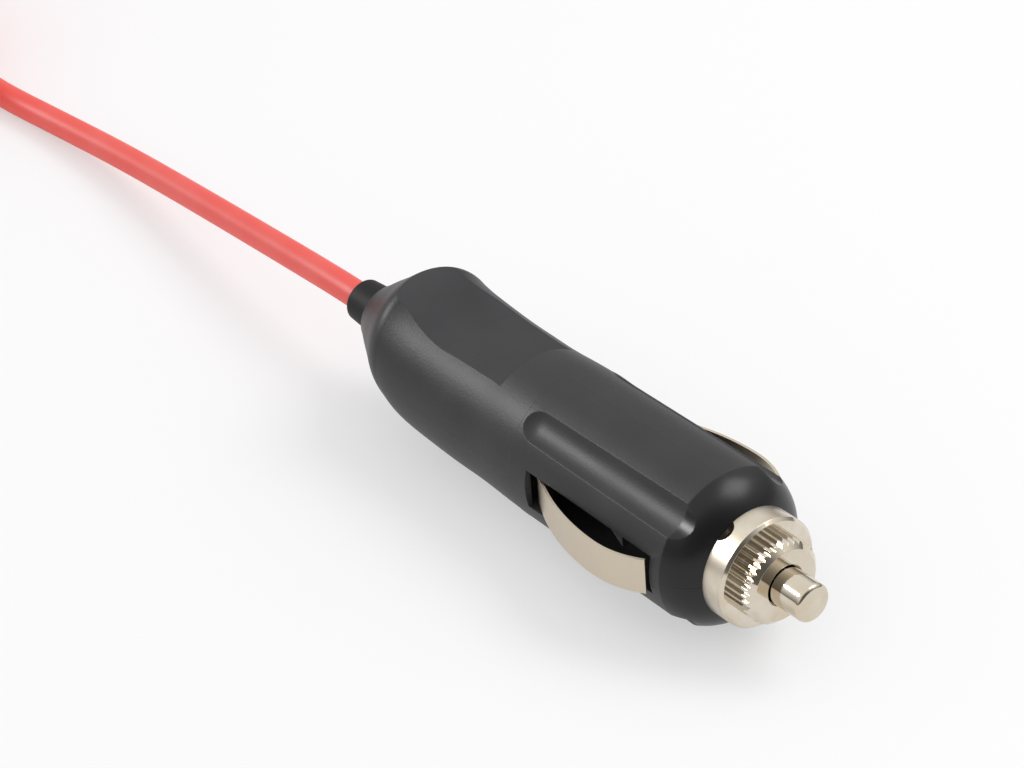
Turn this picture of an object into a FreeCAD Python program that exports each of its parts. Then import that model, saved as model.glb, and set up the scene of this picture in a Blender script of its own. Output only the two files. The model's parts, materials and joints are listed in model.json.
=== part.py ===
import FreeCAD, Part
import math
import os
import Sketcher

# Extension lead for a vehicle's lighter outlet: a fused plug, a cord wound into a hank, an in-line socket.
# The plug's axis lies along X with its tip towards +X. The floor is z = 0.
# Lengths are in millimetres and angles in degrees.

doc = FreeCAD.newDocument("lighter_extension")
Vector = FreeCAD.Vector

# Driving sizes
SIZES = {
    # Plug, lengths from the tip backwards
    "pin_reach": 4.75,
    "nut_head_length": 2.9,
    "ring_length": 3.2,
    "shoulder_length": 4.0,
    "barrel_length": 27.5,
    "waist_run": 7.5,
    "grip_length": 15.0,
    "hump_length": 3.75,
    "tail_length": 10.2,
    "relief_reach": 5.2,
    # Moving pin
    "pin_radius": 2.42,
    "pin_round": 0.6,
    "pin_flange_radius": 3.2,
    "pin_flange_thick": 1.5,
    "pin_travel": 4.0,
    # Knurled nut
    "nut_head_radius": 5.2,
    "nut_chamfer": 0.7,
    "nut_wall": 1.2,
    "nut_shank_radius": 4.6,
    "nut_shank_length": 6.7,
    "nut_shank_wall": 1.0,
    "pin_clearance": 0.2,
    "knurl_count": 36,
    "knurl_depth": 0.3,
    # Front ring
    "ring_radius": 6.95,
    "ring_bevel": 0.35,
    "ring_sleeve_wall": 1.3,
    "ring_sleeve_length": 6.0,
    "collar_height": 0.7,
    "collar_width": 1.5,
    "collar_setback": 2.5,
    "thread_clearance": 0.05,
    "notch_radius": 1.4,
    "notch_depth": 1.0,
    "notch_angle": 29.2,
    # Moulded shell
    "shoulder_tip_radius": 6.9,
    "shoulder_round": 6.5,
    "barrel_radius": 10.0,
    "barrel_rear_radius": 9.8,
    "waist_radius": 9.48,
    "grip_radius": 9.5,
    "grip_rise": 0.7,
    "hump_radius": 9.3,
    "hump_rise": 1.75,
    "crest_radius": 8.8,
    "crest_rise": 2.15,
    "tail_end_radius": 4.1,
    "grip_step": 0.05,
    "relief_rise": 0.9,
    "pad_setback": 6.1,
    "pad_length": 10.8,
    "pad_height": 7.84,
    "ramp_length": 11.7,
    "ramp_height": 2.91,
    "ramp_round": 34.0,
    "flute_radius": 3.9,
    "flute_angle": 44.2,
    "flute_depth": 0.95,
    "flute_length": 24.8,
    "seat_clearance": 0.15,
    "skin_wall": 1.5,
    "cut_overrun": 1.0,
    # Fuse, spring and terminal
    "fuse_radius": 3.175,
    "fuse_length": 31.8,
    "fuse_cap_length": 6.0,
    "fuse_cap_wall": 0.3,
    "fuse_glass_wall": 0.5,
    "fuse_wire_radius": 0.25,
    "fuse_clearance": 0.43,
    "rest_gap": 0.05,
    "spring_length": 10.0,
    "spring_wire_radius": 0.35,
    "spring_radius": 2.3,
    "spring_turns": 5,
    "terminal_radius": 4.2,
    "terminal_thick": 0.8,
    "tag_length": 3.4,
    "tag_width": 2.0,
    "tag_thick": 0.6,
    "tag_height": 1.3,
    "bulkhead": 1.4,
    "bulkhead_hole": 2.4,
    # Side contacts and their slots
    "slot_setback": 1.6,
    "slot_length": 22.55,
    "slot_height": 5.2,
    "slot_floor": 5.2,
    "slot_heel": 1.6,
    "slot_heel_height": 8.9,
    "leaf_thick": 0.35,
    "leaf_width": 4.7,
    "leaf_front_gap": 0.2,
    "leaf_front_height": 10.4,
    "leaf_peak_setback": 6.9,
    "leaf_peak_height": 12.5,
    "leaf_rear_height": 8.2,
    "leaf_tab": 2.4,
    "leaf_heel_gap": 0.85,
    "rib_setback": 5.9,
    "rib_length": 3.2,
    "rib_drop": 2.2,
    "rib_height": 8.9,
    # Ground strap
    "strap_thick": 0.6,
    "strap_width": 2.0,
    "strap_half_span": 7.6,
    "strap_leg": 14.2,
    "strap_gap": 0.75,
    "strap_clearance": 0.1,
    "strap_bed_inset": 0.5,
    # Screw and its bosses
    "screw_setback": 13.0,
    "screw_radius": 1.25,
    "screw_clearance": 0.2,
    "screw_grip": 0.03,
    "screw_head_radius": 2.5,
    "screw_head_thick": 1.5,
    "screw_seat": 6.5,
    "screw_bite": 4.5,
    "screw_slot_width": 0.6,
    "screw_slot_depth": 0.7,
    "counterbore_clearance": 0.3,
    "boss_wall": 1.0,
    # Strain relief
    "relief_radius": 3.15,
    "relief_tip_radius": 2.8,
    "relief_round": 0.5,
    "relief_flange_radius": 4.4,
    "relief_flange_thick": 2.0,
    "relief_neck": 5.2,
    "cavity_radius": 5.6,
    "cavity_wall": 1.7,
    # Cord
    "cord_radius": 1.85,
    "cord_inset": 1.0,
    "core_radius": 0.75,
    "core_spread": 0.9,
    "core_side": 3.9,
    "core_end_run": 2.6,
    # Hank and tie
    "hank_reach": 97.85,
    "hank_side": 6.0,
    "hank_fold": 13.2,
    "hank_straight": 37.1,
    "hank_layers": 4,
    "tie_width": 9.0,
    "tie_thick": 0.6,
    "tie_round": 0.8,
    # Socket
    "socket_gap": 5.3,
    "socket_side": 0.2,
    "socket_radius": 14.0,
    "socket_length": 53.0,
    "socket_cone": 8.0,
    "socket_neck_radius": 7.0,
    "socket_rear_wall": 2.4,
    "sleeve_bore": 10.65,
    "sleeve_wall": 0.5,
    "sleeve_depth": 40.0,
    "sleeve_flange": 1.6,
    "sleeve_rim": 2.6,
    "sleeve_step": 0.75,
    "insulator_thick": 2.5,
    "stud_head_radius": 4.0,
    "stud_head_thick": 1.5,
    "stud_shank_radius": 1.5,
    "stud_rivet_radius": 2.2,
    "stud_rivet_thick": 0.8,
    "washer_radius": 4.6,
    "washer_thick": 0.6,
    "socket_cavity_radius": 10.6,
    "grommet_flange": 1.5,
}

sheet = doc.addObject("Spreadsheet::Sheet", "dims")
for row, (alias, number) in enumerate(SIZES.items(), start=1):
    sheet.set("A%d" % row, alias)
    sheet.set("B%d" % row, str(number))
    sheet.setAlias("B%d" % row, alias)
doc.recompute()


class Size:
    """A length that knows both its number and the expression over the sheet that gives it."""

    def __init__(self, value, text):
        self.value = float(value)
        self.text = text

    @staticmethod
    def of(thing):
        if isinstance(thing, Size):
            return thing
        return Size(thing, "(%r)" % float(thing))

    def join(self, other, sign, value):
        return Size(value, "(%s %s %s)" % (self.text, sign, other.text))

    def __add__(self, other):
        other = Size.of(other)
        return self.join(other, "+", self.value + other.value)

    def __sub__(self, other):
        other = Size.of(other)
        return self.join(other, "-", self.value - other.value)

    def __mul__(self, other):
        other = Size.of(other)
        return self.join(other, "*", self.value * other.value)

    def __truediv__(self, other):
        other = Size.of(other)
        return self.join(other, "/", self.value / other.value)

    def __rsub__(self, other):
        return Size.of(other) - self

    def __neg__(self):
        return Size.of(0) - self

    __radd__ = __add__
    __rmul__ = __mul__


def dim(alias):
    """The driving size with this alias, read back from the sheet."""
    return Size(sheet.get(alias), "dims." + alias)


# Stations along the plug, from the tip backwards
plug_length = (dim("pin_reach") + dim("nut_head_length") + dim("ring_length") + dim("shoulder_length")
               + dim("barrel_length") + dim("waist_run") + dim("grip_length") + dim("hump_length")
               + dim("tail_length") + dim("relief_reach"))
tip_x = plug_length / 2
nut_face_x = tip_x - dim("pin_reach")
ring_face_x = nut_face_x - dim("nut_head_length")
ring_back_x = ring_face_x - dim("ring_length")
crease_x = ring_back_x - dim("shoulder_length")
barrel_end_x = crease_x - dim("barrel_length")
waist_x = barrel_end_x - dim("waist_run")
hump_start_x = waist_x - dim("grip_length")
hump_x = hump_start_x - dim("hump_length")
shell_end_x = hump_x - dim("tail_length")
relief_end_x = shell_end_x - dim("relief_reach")
axis_z = dim("barrel_radius")

# Stations of the fuse, spring and terminal
pin_seat_x = nut_face_x - dim("nut_wall")
pin_front_x = pin_seat_x - dim("rest_gap")
fuse_front_x = pin_front_x - dim("pin_flange_thick")
fuse_rear_x = fuse_front_x - dim("fuse_length")
spring_front_x = fuse_rear_x - dim("rest_gap")
terminal_x = spring_front_x - dim("spring_length") - dim("rest_gap")
terminal_back_x = terminal_x - dim("terminal_thick")
cavity_front_x = terminal_back_x - dim("bulkhead")
tag_end_x = terminal_back_x - dim("tag_length")

# Stations of the strain relief and the cord's start
relief_flange_back_x = shell_end_x + dim("relief_neck")
relief_flange_front_x = relief_flange_back_x + dim("relief_flange_thick")
cavity_rear_x = relief_flange_front_x + dim("cavity_wall")
cord_start_x = cavity_rear_x + dim("cord_inset")

# Stations of the side slots
slot_front_x = crease_x - dim("slot_setback")
slot_rear_x = slot_front_x - dim("slot_length")
slot_heel_x = slot_rear_x - dim("slot_heel")
leaf_front_x = slot_front_x - dim("leaf_front_gap")
leaf_peak_x = slot_front_x - dim("leaf_peak_setback")
leaf_rear_x = slot_rear_x + dim("leaf_heel_gap")
leaf_tab_x = leaf_rear_x - dim("leaf_thick")
strap_front_x = leaf_tab_x - dim("strap_gap")
strap_back_x = strap_front_x - dim("strap_leg")
strap_end_x = strap_back_x - dim("strap_width")
screw_x = waist_x - dim("screw_setback")

# Stations of the hank and the socket
hank_near_x = relief_end_x - dim("hank_reach")
hank_outer = dim("hank_fold") + 3 * dim("cord_radius")
hank_far_x = hank_near_x - dim("hank_straight") - 2 * hank_outer
hank_height = 2 * dim("cord_radius") * dim("hank_layers")
grommet_end_x = hank_far_x - dim("socket_gap")
socket_rear_x = grommet_end_x - dim("relief_reach")
socket_mouth_x = socket_rear_x - dim("socket_length")
socket_y = -dim("socket_side")
rim_front_x = socket_mouth_x + dim("sleeve_depth")
rim_back_x = rim_front_x + dim("sleeve_wall")
socket_wall_x = socket_rear_x - dim("socket_rear_wall")
grommet_front_x = socket_wall_x - dim("grommet_flange")
stud_seat_x = rim_front_x - dim("insulator_thick")
washer_back_x = rim_front_x + dim("washer_thick")
rivet_x = washer_back_x + dim("stud_rivet_thick")


def make_body(label):
    """An empty body whose label names its file."""
    body = doc.addObject("PartDesign::Body", label)
    body.Label = label
    return body


def origin_plane(body, role):
    """The body's own origin plane with this role."""
    for feature in body.Origin.OriginFeatures:
        if feature.Role == role:
            return feature
    raise RuntimeError("no plane " + role)


def new_sketch(body, name, role, offset=None):
    """A sketch on one of the body's own planes, moved along its normal by a size."""
    sketch = body.newObject("Sketcher::SketchObject", name)
    sketch.AttachmentSupport = [(origin_plane(body, role), "")]
    sketch.MapMode = "FlatFace"
    if offset is not None:
        sketch.setExpression("AttachmentOffset.Base.z", offset.text)
    return sketch


def pin_down(sketch, kind, geometry, point, size):
    """Holds one coordinate of a point at a size measured from the sketch's origin."""
    if size.value == 0:
        axis = -2 if kind == "DistanceX" else -1
        sketch.addConstraint(Sketcher.Constraint("PointOnObject", geometry, point, axis))
        return
    index = sketch.addConstraint(Sketcher.Constraint(kind, -1, 1, geometry, point, size.value))
    sketch.setExpression("Constraints[%d]" % index, size.text)


def arc_between(start, end, radius, centre_on_left):
    """The short arc from start to end, with its centre on the left or right of that way."""
    middle = (start + end) * 0.5
    along = end - start
    across = Vector(-along.y, along.x, 0).normalize()
    reach = math.sqrt(radius ** 2 - (along.Length / 2) ** 2)
    centre = middle + across * (reach if centre_on_left else -reach)
    first = start if centre_on_left else end
    last = end if centre_on_left else start
    angle_first = math.atan2(first.y - centre.y, first.x - centre.x)
    angle_last = math.atan2(last.y - centre.y, last.x - centre.x)
    if angle_last < angle_first:
        angle_last += 2 * math.pi
    circle = Part.Circle(centre, Vector(0, 0, 1), radius)
    return Part.ArcOfCircle(circle, angle_first, angle_last)


def draw_outline(sketch, corners, arcs=None):
    """Draws a closed outline. Edge k runs from corner k to the next one, as a line or as an arc."""
    arcs = arcs or {}
    corners = [(Size.of(x), Size.of(y)) for x, y in corners]
    points = [Vector(x.value, y.value, 0) for x, y in corners]
    edges = []
    for k, start in enumerate(points):
        end = points[(k + 1) % len(points)]
        if k in arcs:
            radius, on_left = arcs[k]
            index = sketch.addGeometry(arc_between(start, end, radius.value, on_left), False)
            edges.append((index, 1 if on_left else 2, 2 if on_left else 1))
        else:
            index = sketch.addGeometry(Part.LineSegment(start, end), False)
            edges.append((index, 1, 2))
    for k, (index, start_point, _) in enumerate(edges):
        before, _, end_point = edges[k - 1]
        sketch.addConstraint(Sketcher.Constraint("Coincident", before, end_point, index, start_point))
        pin_down(sketch, "DistanceX", index, start_point, corners[k][0])
        pin_down(sketch, "DistanceY", index, start_point, corners[k][1])
        if k in arcs:
            held = sketch.addConstraint(Sketcher.Constraint("Radius", index, arcs[k][0].value))
            sketch.setExpression("Constraints[%d]" % held, arcs[k][0].text)


def draw_circle(sketch, x, y, radius):
    """Draws a circle held by its centre and radius."""
    x, y = Size.of(x), Size.of(y)
    index = sketch.addGeometry(Part.Circle(Vector(x.value, y.value, 0), Vector(0, 0, 1), radius.value), False)
    pin_down(sketch, "DistanceX", index, 3, x)
    pin_down(sketch, "DistanceY", index, 3, y)
    held = sketch.addConstraint(Sketcher.Constraint("Radius", index, radius.value))
    sketch.setExpression("Constraints[%d]" % held, radius.text)


def turn(body, name, corners, arcs=None, cut=False):
    """Turns an outline of (x, radius) corners about the body's X axis, to add or to cut."""
    sketch = new_sketch(body, name + "_profile", "XZ_Plane")
    draw_outline(sketch, corners, arcs)
    feature = body.newObject("PartDesign::Groove" if cut else "PartDesign::Revolution", name)
    feature.Profile = sketch
    feature.ReferenceAxis = (sketch, ["H_Axis"])
    feature.Angle = 360
    sketch.Visibility = False
    return feature


def pocket(body, sketch, name, length=None, upward=False):
    """Cuts a sketch to a length, or through everything, against or along its normal."""
    feature = body.newObject("PartDesign::Pocket", name)
    feature.Profile = sketch
    if length is None:
        feature.Type = "ThroughAll"
    else:
        feature.Type = "Length"
        feature.setExpression("Length", length.text)
    feature.Reversed = upward
    return feature


def pad(body, sketch, name, length, reverse=False, both_ways=False):
    """Pads a sketch by a length."""
    feature = body.newObject("PartDesign::Pad", name)
    feature.Profile = sketch
    feature.setExpression("Length", length.text)
    feature.Reversed = reverse
    if both_ways:
        feature.SideType = "Symmetric"
    return feature


def cut_rod(body, name, x, y, z, radius, length, direction):
    """Cuts a round rod that starts at a point and runs along a direction."""
    feature = body.newObject("PartDesign::SubtractiveCylinder", name)
    feature.Placement = FreeCAD.Placement(Vector(), FreeCAD.Rotation(Vector(0, 0, 1), direction))
    for key, size in (("Radius", radius), ("Height", length), ("Placement.Base.x", Size.of(x)),
                      ("Placement.Base.y", Size.of(y)), ("Placement.Base.z", Size.of(z))):
        feature.setExpression(key, size.text)
    return feature


def cut_ball(body, name, x, y, z, radius):
    """Cuts a ball."""
    feature = body.newObject("PartDesign::SubtractiveSphere", name)
    for key, size in (("Radius", radius), ("Placement.Base.x", x), ("Placement.Base.y", y),
                      ("Placement.Base.z", z)):
        feature.setExpression(key, size.text)
    return feature


def lift(body, y=None, z=None):
    """Puts a body drawn about its own axis at its place."""
    if y is not None:
        body.setExpression("Placement.Base.y", y.text)
    if z is not None:
        body.setExpression("Placement.Base.z", z.text)


def turned_piece(label, corners, arcs=None, y=None, z=None):
    """A plain turned piece as a body of its own."""
    body = make_body(label)
    turn(body, label + "_turned", corners, arcs)
    lift(body, y, z)
    return body


# Moulded shell
core_radius = dim("fuse_radius") + dim("fuse_clearance")
ring_bore = dim("nut_shank_radius") + dim("thread_clearance")
ring_sleeve_radius = ring_bore + dim("ring_sleeve_wall")
collar_radius = ring_sleeve_radius + dim("collar_height")
sleeve_back_x = ring_back_x - dim("ring_sleeve_length")
collar_front_x = ring_back_x - dim("collar_setback")
collar_back_x = collar_front_x - dim("collar_width")
slack = dim("seat_clearance")


def make_shell(label, upper):
    """One half of the shell, parted on the level of the plug's axis."""
    body = make_body(label)
    turn(body, label + "_barrel", [
        (ring_back_x, 0),
        (ring_back_x, dim("shoulder_tip_radius")),
        (crease_x, dim("barrel_radius")),
        (barrel_end_x, dim("barrel_rear_radius")),
        (barrel_end_x, 0),
    ], {1: (dim("shoulder_round"), True)})

    # The grip is lofted through round sections, and the tail through others that rise to a hump and close on
    # the cord. The sections stand about evenly and each loft has few, because a loft swings where they don't.
    rear, waist, grip, hump = [dim(name + "_radius") for name in ("barrel_rear", "waist", "grip", "hump")]
    low, high = dim("grip_rise"), dim("hump_rise")
    step = dim("grip_length") / 4
    level = Size.of(0)
    grip_sections = [
        (barrel_end_x + dim("waist_run") / 2, rear - dim("grip_step"), level),
        (barrel_end_x, rear - dim("grip_step"), level),
        (waist_x + dim("waist_run") / 2, (rear + waist) / 2, level),
        (waist_x, waist, level),
        (waist_x - step, waist, low / 16),
        (waist_x - step * 2, waist, low / 6),
        (waist_x - step * 3, (waist + grip) / 2, low / 2),
        (hump_start_x, grip, low),
        (hump_x, hump, high),
    ]
    crest, crest_rise = dim("crest_radius"), dim("crest_rise")
    thinner = (dim("tail_end_radius") - crest) / 4
    lower = (dim("relief_rise") - crest_rise) / 4
    tail_sections = [(hump_x, hump, high)]
    for k in range(5):
        x = hump_x - dim("tail_length") * (k + 1) / 5
        tail_sections.append((x, crest + thinner * k, crest_rise + lower * k))
    for name, sections in (("grip", grip_sections), ("tail", tail_sections)):
        drawn = []
        for k, (x, radius, rise) in enumerate(sections):
            sketch = new_sketch(body, "%s_%s_section_%d" % (label, name, k), "YZ_Plane", x)
            draw_circle(sketch, 0, rise, radius)
            drawn.append(sketch)
        doc.recompute()
        loft = body.newObject("PartDesign::AdditiveLoft", "%s_%s" % (label, name))
        loft.Profile = drawn[0]
        loft.Sections = drawn[1:]
        loft.Ruled = False
        doc.recompute()

    # Half of it goes
    far = plug_length
    sketch = new_sketch(body, label + "_parting", "XY_Plane")
    draw_outline(sketch, [(-far, -far), (far, -far), (far, far), (-far, far)])
    pocket(body, sketch, label + "_half", upward=not upper)

    # Seats for the ring and the terminal, the fuse chamber and the rear cavity
    over = dim("cut_overrun")
    front = ring_back_x + over
    turn(body, label + "_core", [
        (front, 0),
        (front, ring_sleeve_radius + slack),
        (collar_front_x, ring_sleeve_radius + slack),
        (collar_front_x, collar_radius + slack),
        (collar_back_x, collar_radius + slack),
        (collar_back_x, ring_sleeve_radius + slack),
        (sleeve_back_x, ring_sleeve_radius + slack),
        (sleeve_back_x, core_radius),
        (terminal_x, core_radius),
        (terminal_x, dim("terminal_radius") + slack),
        (terminal_back_x, dim("terminal_radius") + slack),
        (terminal_back_x, dim("bulkhead_hole")),
        (cavity_front_x, dim("bulkhead_hole")),
        (cavity_front_x, dim("cavity_radius")),
        (cavity_rear_x, dim("cavity_radius")),
        (cavity_rear_x, 0),
    ], cut=True)

    # Seat for the strain relief, about the cord's own axis
    back = Vector(-1, 0, 0)
    rise = dim("relief_rise")
    cut_rod(body, label + "_relief_bore", cavity_rear_x + over, 0, rise, dim("relief_radius") + slack,
            cavity_rear_x - shell_end_x + over * 2, back)
    cut_rod(body, label + "_relief_flange", relief_flange_front_x, 0, rise,
            dim("relief_flange_radius") + slack, dim("relief_flange_thick"), back)

    # Chamber and window for each side contact
    half_slot = dim("slot_height") / 2
    for name, side in (("left", -1), ("right", 1)):
        sketch = new_sketch(body, "%s_slot_%s" % (label, name), "XY_Plane")
        floor = dim("slot_floor") * side
        heel = dim("slot_heel_height") * side
        outside = dim("barrel_radius") * 2 * side
        draw_outline(sketch, [
            (slot_heel_x, floor), (slot_front_x, floor), (slot_front_x, outside),
            (slot_rear_x, outside), (slot_rear_x, heel), (slot_heel_x, heel),
        ])
        pocket(body, sketch, "%s_window_%s" % (label, name), half_slot, upward=upper)

    # Open flutes with a ball end
    axis_radius = dim("barrel_radius") - dim("flute_depth") + dim("flute_radius")
    angle = math.radians(sheet.get("flute_angle"))
    flute_rear_x = crease_x - dim("flute_length")
    for name, side in (("left", -1), ("right", 1)):
        y = axis_radius * (math.sin(angle) * side)
        z = axis_radius * (math.cos(angle) * (1 if upper else -1))
        cut_rod(body, "%s_flute_%s" % (label, name), flute_rear_x, y, z, dim("flute_radius"),
                dim("flute_length") + dim("shoulder_length"), Vector(1, 0, 0))
        cut_ball(body, "%s_flute_end_%s" % (label, name), flute_rear_x, y, z, dim("flute_radius"))

    # Bed for the ground strap
    if not upper:
        gap = dim("strap_clearance")
        inner = dim("strap_half_span") - dim("strap_width") - gap
        outer = dim("strap_half_span") + gap
        bed_x = slot_heel_x + dim("strap_bed_inset")
        sketch = new_sketch(body, label + "_strap_bed", "XY_Plane")
        draw_outline(sketch, [
            (bed_x, -outer), (strap_end_x - gap, -outer), (strap_end_x - gap, outer),
            (bed_x, outer), (bed_x, inner), (strap_back_x + gap, inner),
            (strap_back_x + gap, -inner), (bed_x, -inner),
        ])
        pocket(body, sketch, label + "_strap_pocket", dim("strap_thick"))

    # Boss for the screw
    boss = dim("screw_radius") + dim("screw_clearance") + dim("boss_wall")
    sketch = new_sketch(body, label + "_boss_circle", "XY_Plane")
    draw_circle(sketch, screw_x, 0, boss)
    pad(body, sketch, label + "_boss", dim("cavity_radius") + dim("skin_wall") / 2, reverse=not upper)
    if upper:
        cut_rod(body, label + "_pilot", screw_x, 0, -over, dim("screw_radius") + dim("screw_grip"),
                dim("screw_bite") + dim("screw_clearance") + over, Vector(0, 0, 1))
        add_pad_flat(body, label)
        add_ribs(body, label)
    else:
        cut_rod(body, label + "_screw_hole", screw_x, 0, over, dim("screw_radius") + dim("screw_clearance"),
                dim("barrel_radius") * 2, Vector(0, 0, -1))
        cut_rod(body, label + "_counterbore", screw_x, 0, -dim("screw_seat"),
                dim("screw_head_radius") + dim("counterbore_clearance"), dim("barrel_radius") * 2,
                Vector(0, 0, -1))
    lift(body, z=axis_z)
    return body


def add_pad_flat(body, label):
    """Cuts the flat pad and the hollow ramp behind it."""
    front = barrel_end_x - dim("pad_setback")
    rear = front - dim("pad_length")
    top = dim("barrel_radius") * 2
    ramp_x = rear - dim("ramp_length")
    ramp_z = dim("pad_height") + dim("ramp_height")
    sketch = new_sketch(body, label + "_pad_profile", "XZ_Plane")
    draw_outline(sketch, [
        (front, top), (ramp_x, top), (ramp_x, ramp_z), (rear, dim("pad_height")),
        (front, dim("pad_height")),
    ], {2: (dim("ramp_round"), True)})
    feature = pocket(body, sketch, label + "_pad")
    feature.SideType = "Symmetric"


def add_ribs(body, label):
    """Adds the small three-cornered rib in the upper wall of each slot."""
    rib_front = slot_front_x - dim("rib_setback")
    rib_rear = rib_front - dim("rib_length")
    top = dim("slot_height") / 2
    for name, side in (("left", -1), ("right", 1)):
        sketch = new_sketch(body, "%s_rib_%s" % (label, name), "XZ_Plane", dim("slot_floor") * -side)
        draw_outline(sketch, [(rib_rear, top), (rib_front, top - dim("rib_drop")), (rib_front, top)])
        pad(body, sketch, "%s_rib_pad_%s" % (label, name), dim("rib_height") - dim("slot_floor"),
            reverse=side > 0)


shell_upper = make_shell("plug_shell_upper", True)
shell_lower = make_shell("plug_shell_lower", False)

# Screw that closes the shell, with a cross slot in its head
screw = make_body("shell_screw")
sketch = new_sketch(screw, "shell_screw_shank_circle", "XY_Plane", -dim("screw_seat"))
draw_circle(sketch, screw_x, 0, dim("screw_radius"))
pad(screw, sketch, "shell_screw_shank", dim("screw_seat") + dim("screw_bite"))
sketch = new_sketch(screw, "shell_screw_head_circle", "XY_Plane", -dim("screw_seat"))
draw_circle(sketch, screw_x, 0, dim("screw_head_radius"))
pad(screw, sketch, "shell_screw_head", dim("screw_head_thick"), reverse=True)
for name, along in (("long", True), ("cross", False)):
    sketch = new_sketch(screw, "shell_screw_slot_" + name, "XY_Plane",
                        -(dim("screw_seat") + dim("screw_head_thick")))
    reach = dim("screw_head_radius") * 0.7
    half = dim("screw_slot_width") / 2
    wide = reach if along else half
    deep = half if along else reach
    draw_outline(sketch, [(screw_x - wide, -deep), (screw_x + wide, -deep), (screw_x + wide, deep),
                          (screw_x - wide, deep)])
    pocket(screw, sketch, "shell_screw_cut_" + name, dim("screw_slot_depth"), upward=True)
lift(screw, z=axis_z)

# Front ring with its sleeve and collar, and the notch in its rear edge
ring = make_body("front_ring")
bevel = dim("ring_bevel")
turn(ring, "front_ring_turned", [
    (ring_face_x, ring_bore),
    (ring_face_x, dim("ring_radius") - bevel),
    (ring_face_x - bevel, dim("ring_radius")),
    (ring_back_x, dim("ring_radius")),
    (ring_back_x, ring_sleeve_radius),
    (collar_front_x, ring_sleeve_radius),
    (collar_front_x, collar_radius),
    (collar_back_x, collar_radius),
    (collar_back_x, ring_sleeve_radius),
    (sleeve_back_x, ring_sleeve_radius),
    (sleeve_back_x, ring_bore),
])
notch_turn = math.radians(sheet.get("notch_angle"))
notch_out = Vector(0, -math.sin(notch_turn), math.cos(notch_turn))
notch_x = ring_back_x + dim("notch_depth") - dim("notch_radius")
cut_rod(ring, "front_ring_notch", notch_x, ring_sleeve_radius * notch_out.y, ring_sleeve_radius * notch_out.z,
        dim("notch_radius"), dim("ring_radius"), notch_out)
lift(ring, z=axis_z)

# Knurled nut
nut = make_body("tip_nut")
nut_hole = dim("pin_radius") + dim("pin_clearance")
nut_bore = dim("nut_shank_radius") - dim("nut_shank_wall")
nut_back_x = ring_face_x - dim("nut_shank_length")
chamfer = dim("nut_chamfer")
turn(nut, "tip_nut_turned", [
    (nut_face_x, nut_hole),
    (nut_face_x, dim("nut_head_radius") - chamfer),
    (nut_face_x - chamfer, dim("nut_head_radius")),
    (ring_face_x, dim("nut_head_radius")),
    (ring_face_x, dim("nut_shank_radius")),
    (nut_back_x, dim("nut_shank_radius")),
    (nut_back_x, nut_bore),
    (pin_seat_x, nut_bore),
    (pin_seat_x, nut_hole),
])
sketch = new_sketch(nut, "tip_nut_tooth_gap", "YZ_Plane", nut_face_x)
tooth_gap = dim("nut_head_radius") * (math.pi / sheet.get("knurl_count")) * 0.9
draw_outline(sketch, [
    (-tooth_gap, dim("nut_head_radius") + dim("knurl_depth") * 0.3),
    (0, dim("nut_head_radius") - dim("knurl_depth")),
    (tooth_gap, dim("nut_head_radius") + dim("knurl_depth") * 0.3),
])
groove = pocket(nut, sketch, "tip_nut_groove", dim("nut_head_length"))
doc.recompute()
knurl = nut.newObject("PartDesign::PolarPattern", "tip_nut_knurl")
knurl.Originals = [groove]
knurl.Axis = (sketch, ["N_Axis"])
knurl.Angle = 360
knurl.setExpression("Occurrences", "dims.knurl_count")
nut.Tip = knurl
lift(nut, z=axis_z)

# Sliding pin with a flat end, a rounded edge and a flange
pin_round = dim("pin_round")
turned_piece("contact_pin", [
    (fuse_front_x, 0),
    (tip_x, 0),
    (tip_x, dim("pin_radius") - pin_round),
    (tip_x - pin_round, dim("pin_radius")),
    (pin_front_x, dim("pin_radius")),
    (pin_front_x, dim("pin_flange_radius")),
    (fuse_front_x, dim("pin_flange_radius")),
], {2: (pin_round, True)}, z=axis_z)

# Glass fuse: tube, two caps and the wire that melts
cap_inner = dim("fuse_radius") - dim("fuse_cap_wall")
glass_inner = cap_inner - dim("fuse_glass_wall")
wall = dim("fuse_cap_wall")
for label, end_x, inward in (("fuse_cap_front", fuse_front_x, -1), ("fuse_cap_rear", fuse_rear_x, 1)):
    turned_piece(label, [
        (end_x, 0),
        (end_x, dim("fuse_radius")),
        (end_x + dim("fuse_cap_length") * inward, dim("fuse_radius")),
        (end_x + dim("fuse_cap_length") * inward, cap_inner),
        (end_x + wall * inward, cap_inner),
        (end_x + wall * inward, 0),
    ], z=axis_z)
turned_piece("fuse_tube", [
    (fuse_front_x - wall, glass_inner),
    (fuse_front_x - wall, cap_inner),
    (fuse_rear_x + wall, cap_inner),
    (fuse_rear_x + wall, glass_inner),
], z=axis_z)
turned_piece("fuse_wire", [
    (fuse_front_x - wall, 0),
    (fuse_front_x - wall, dim("fuse_wire_radius")),
    (fuse_rear_x + wall, dim("fuse_wire_radius")),
    (fuse_rear_x + wall, 0),
], z=axis_z)

# Terminal disc with its solder tag
terminal = make_body("positive_terminal")
turn(terminal, "positive_terminal_disc", [
    (terminal_x, 0),
    (terminal_x, dim("terminal_radius")),
    (terminal_back_x, dim("terminal_radius")),
    (terminal_back_x, 0),
])
sketch = new_sketch(terminal, "positive_terminal_tag_outline", "YZ_Plane", terminal_back_x)
tag_half = dim("tag_width") / 2
tag_low = dim("tag_height") - dim("tag_thick") / 2
tag_high = dim("tag_height") + dim("tag_thick") / 2
draw_outline(sketch, [(-tag_half, tag_low), (tag_half, tag_low), (tag_half, tag_high), (-tag_half, tag_high)])
pad(terminal, sketch, "positive_terminal_tag", dim("tag_length"), reverse=True)
lift(terminal, z=axis_z)


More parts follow.
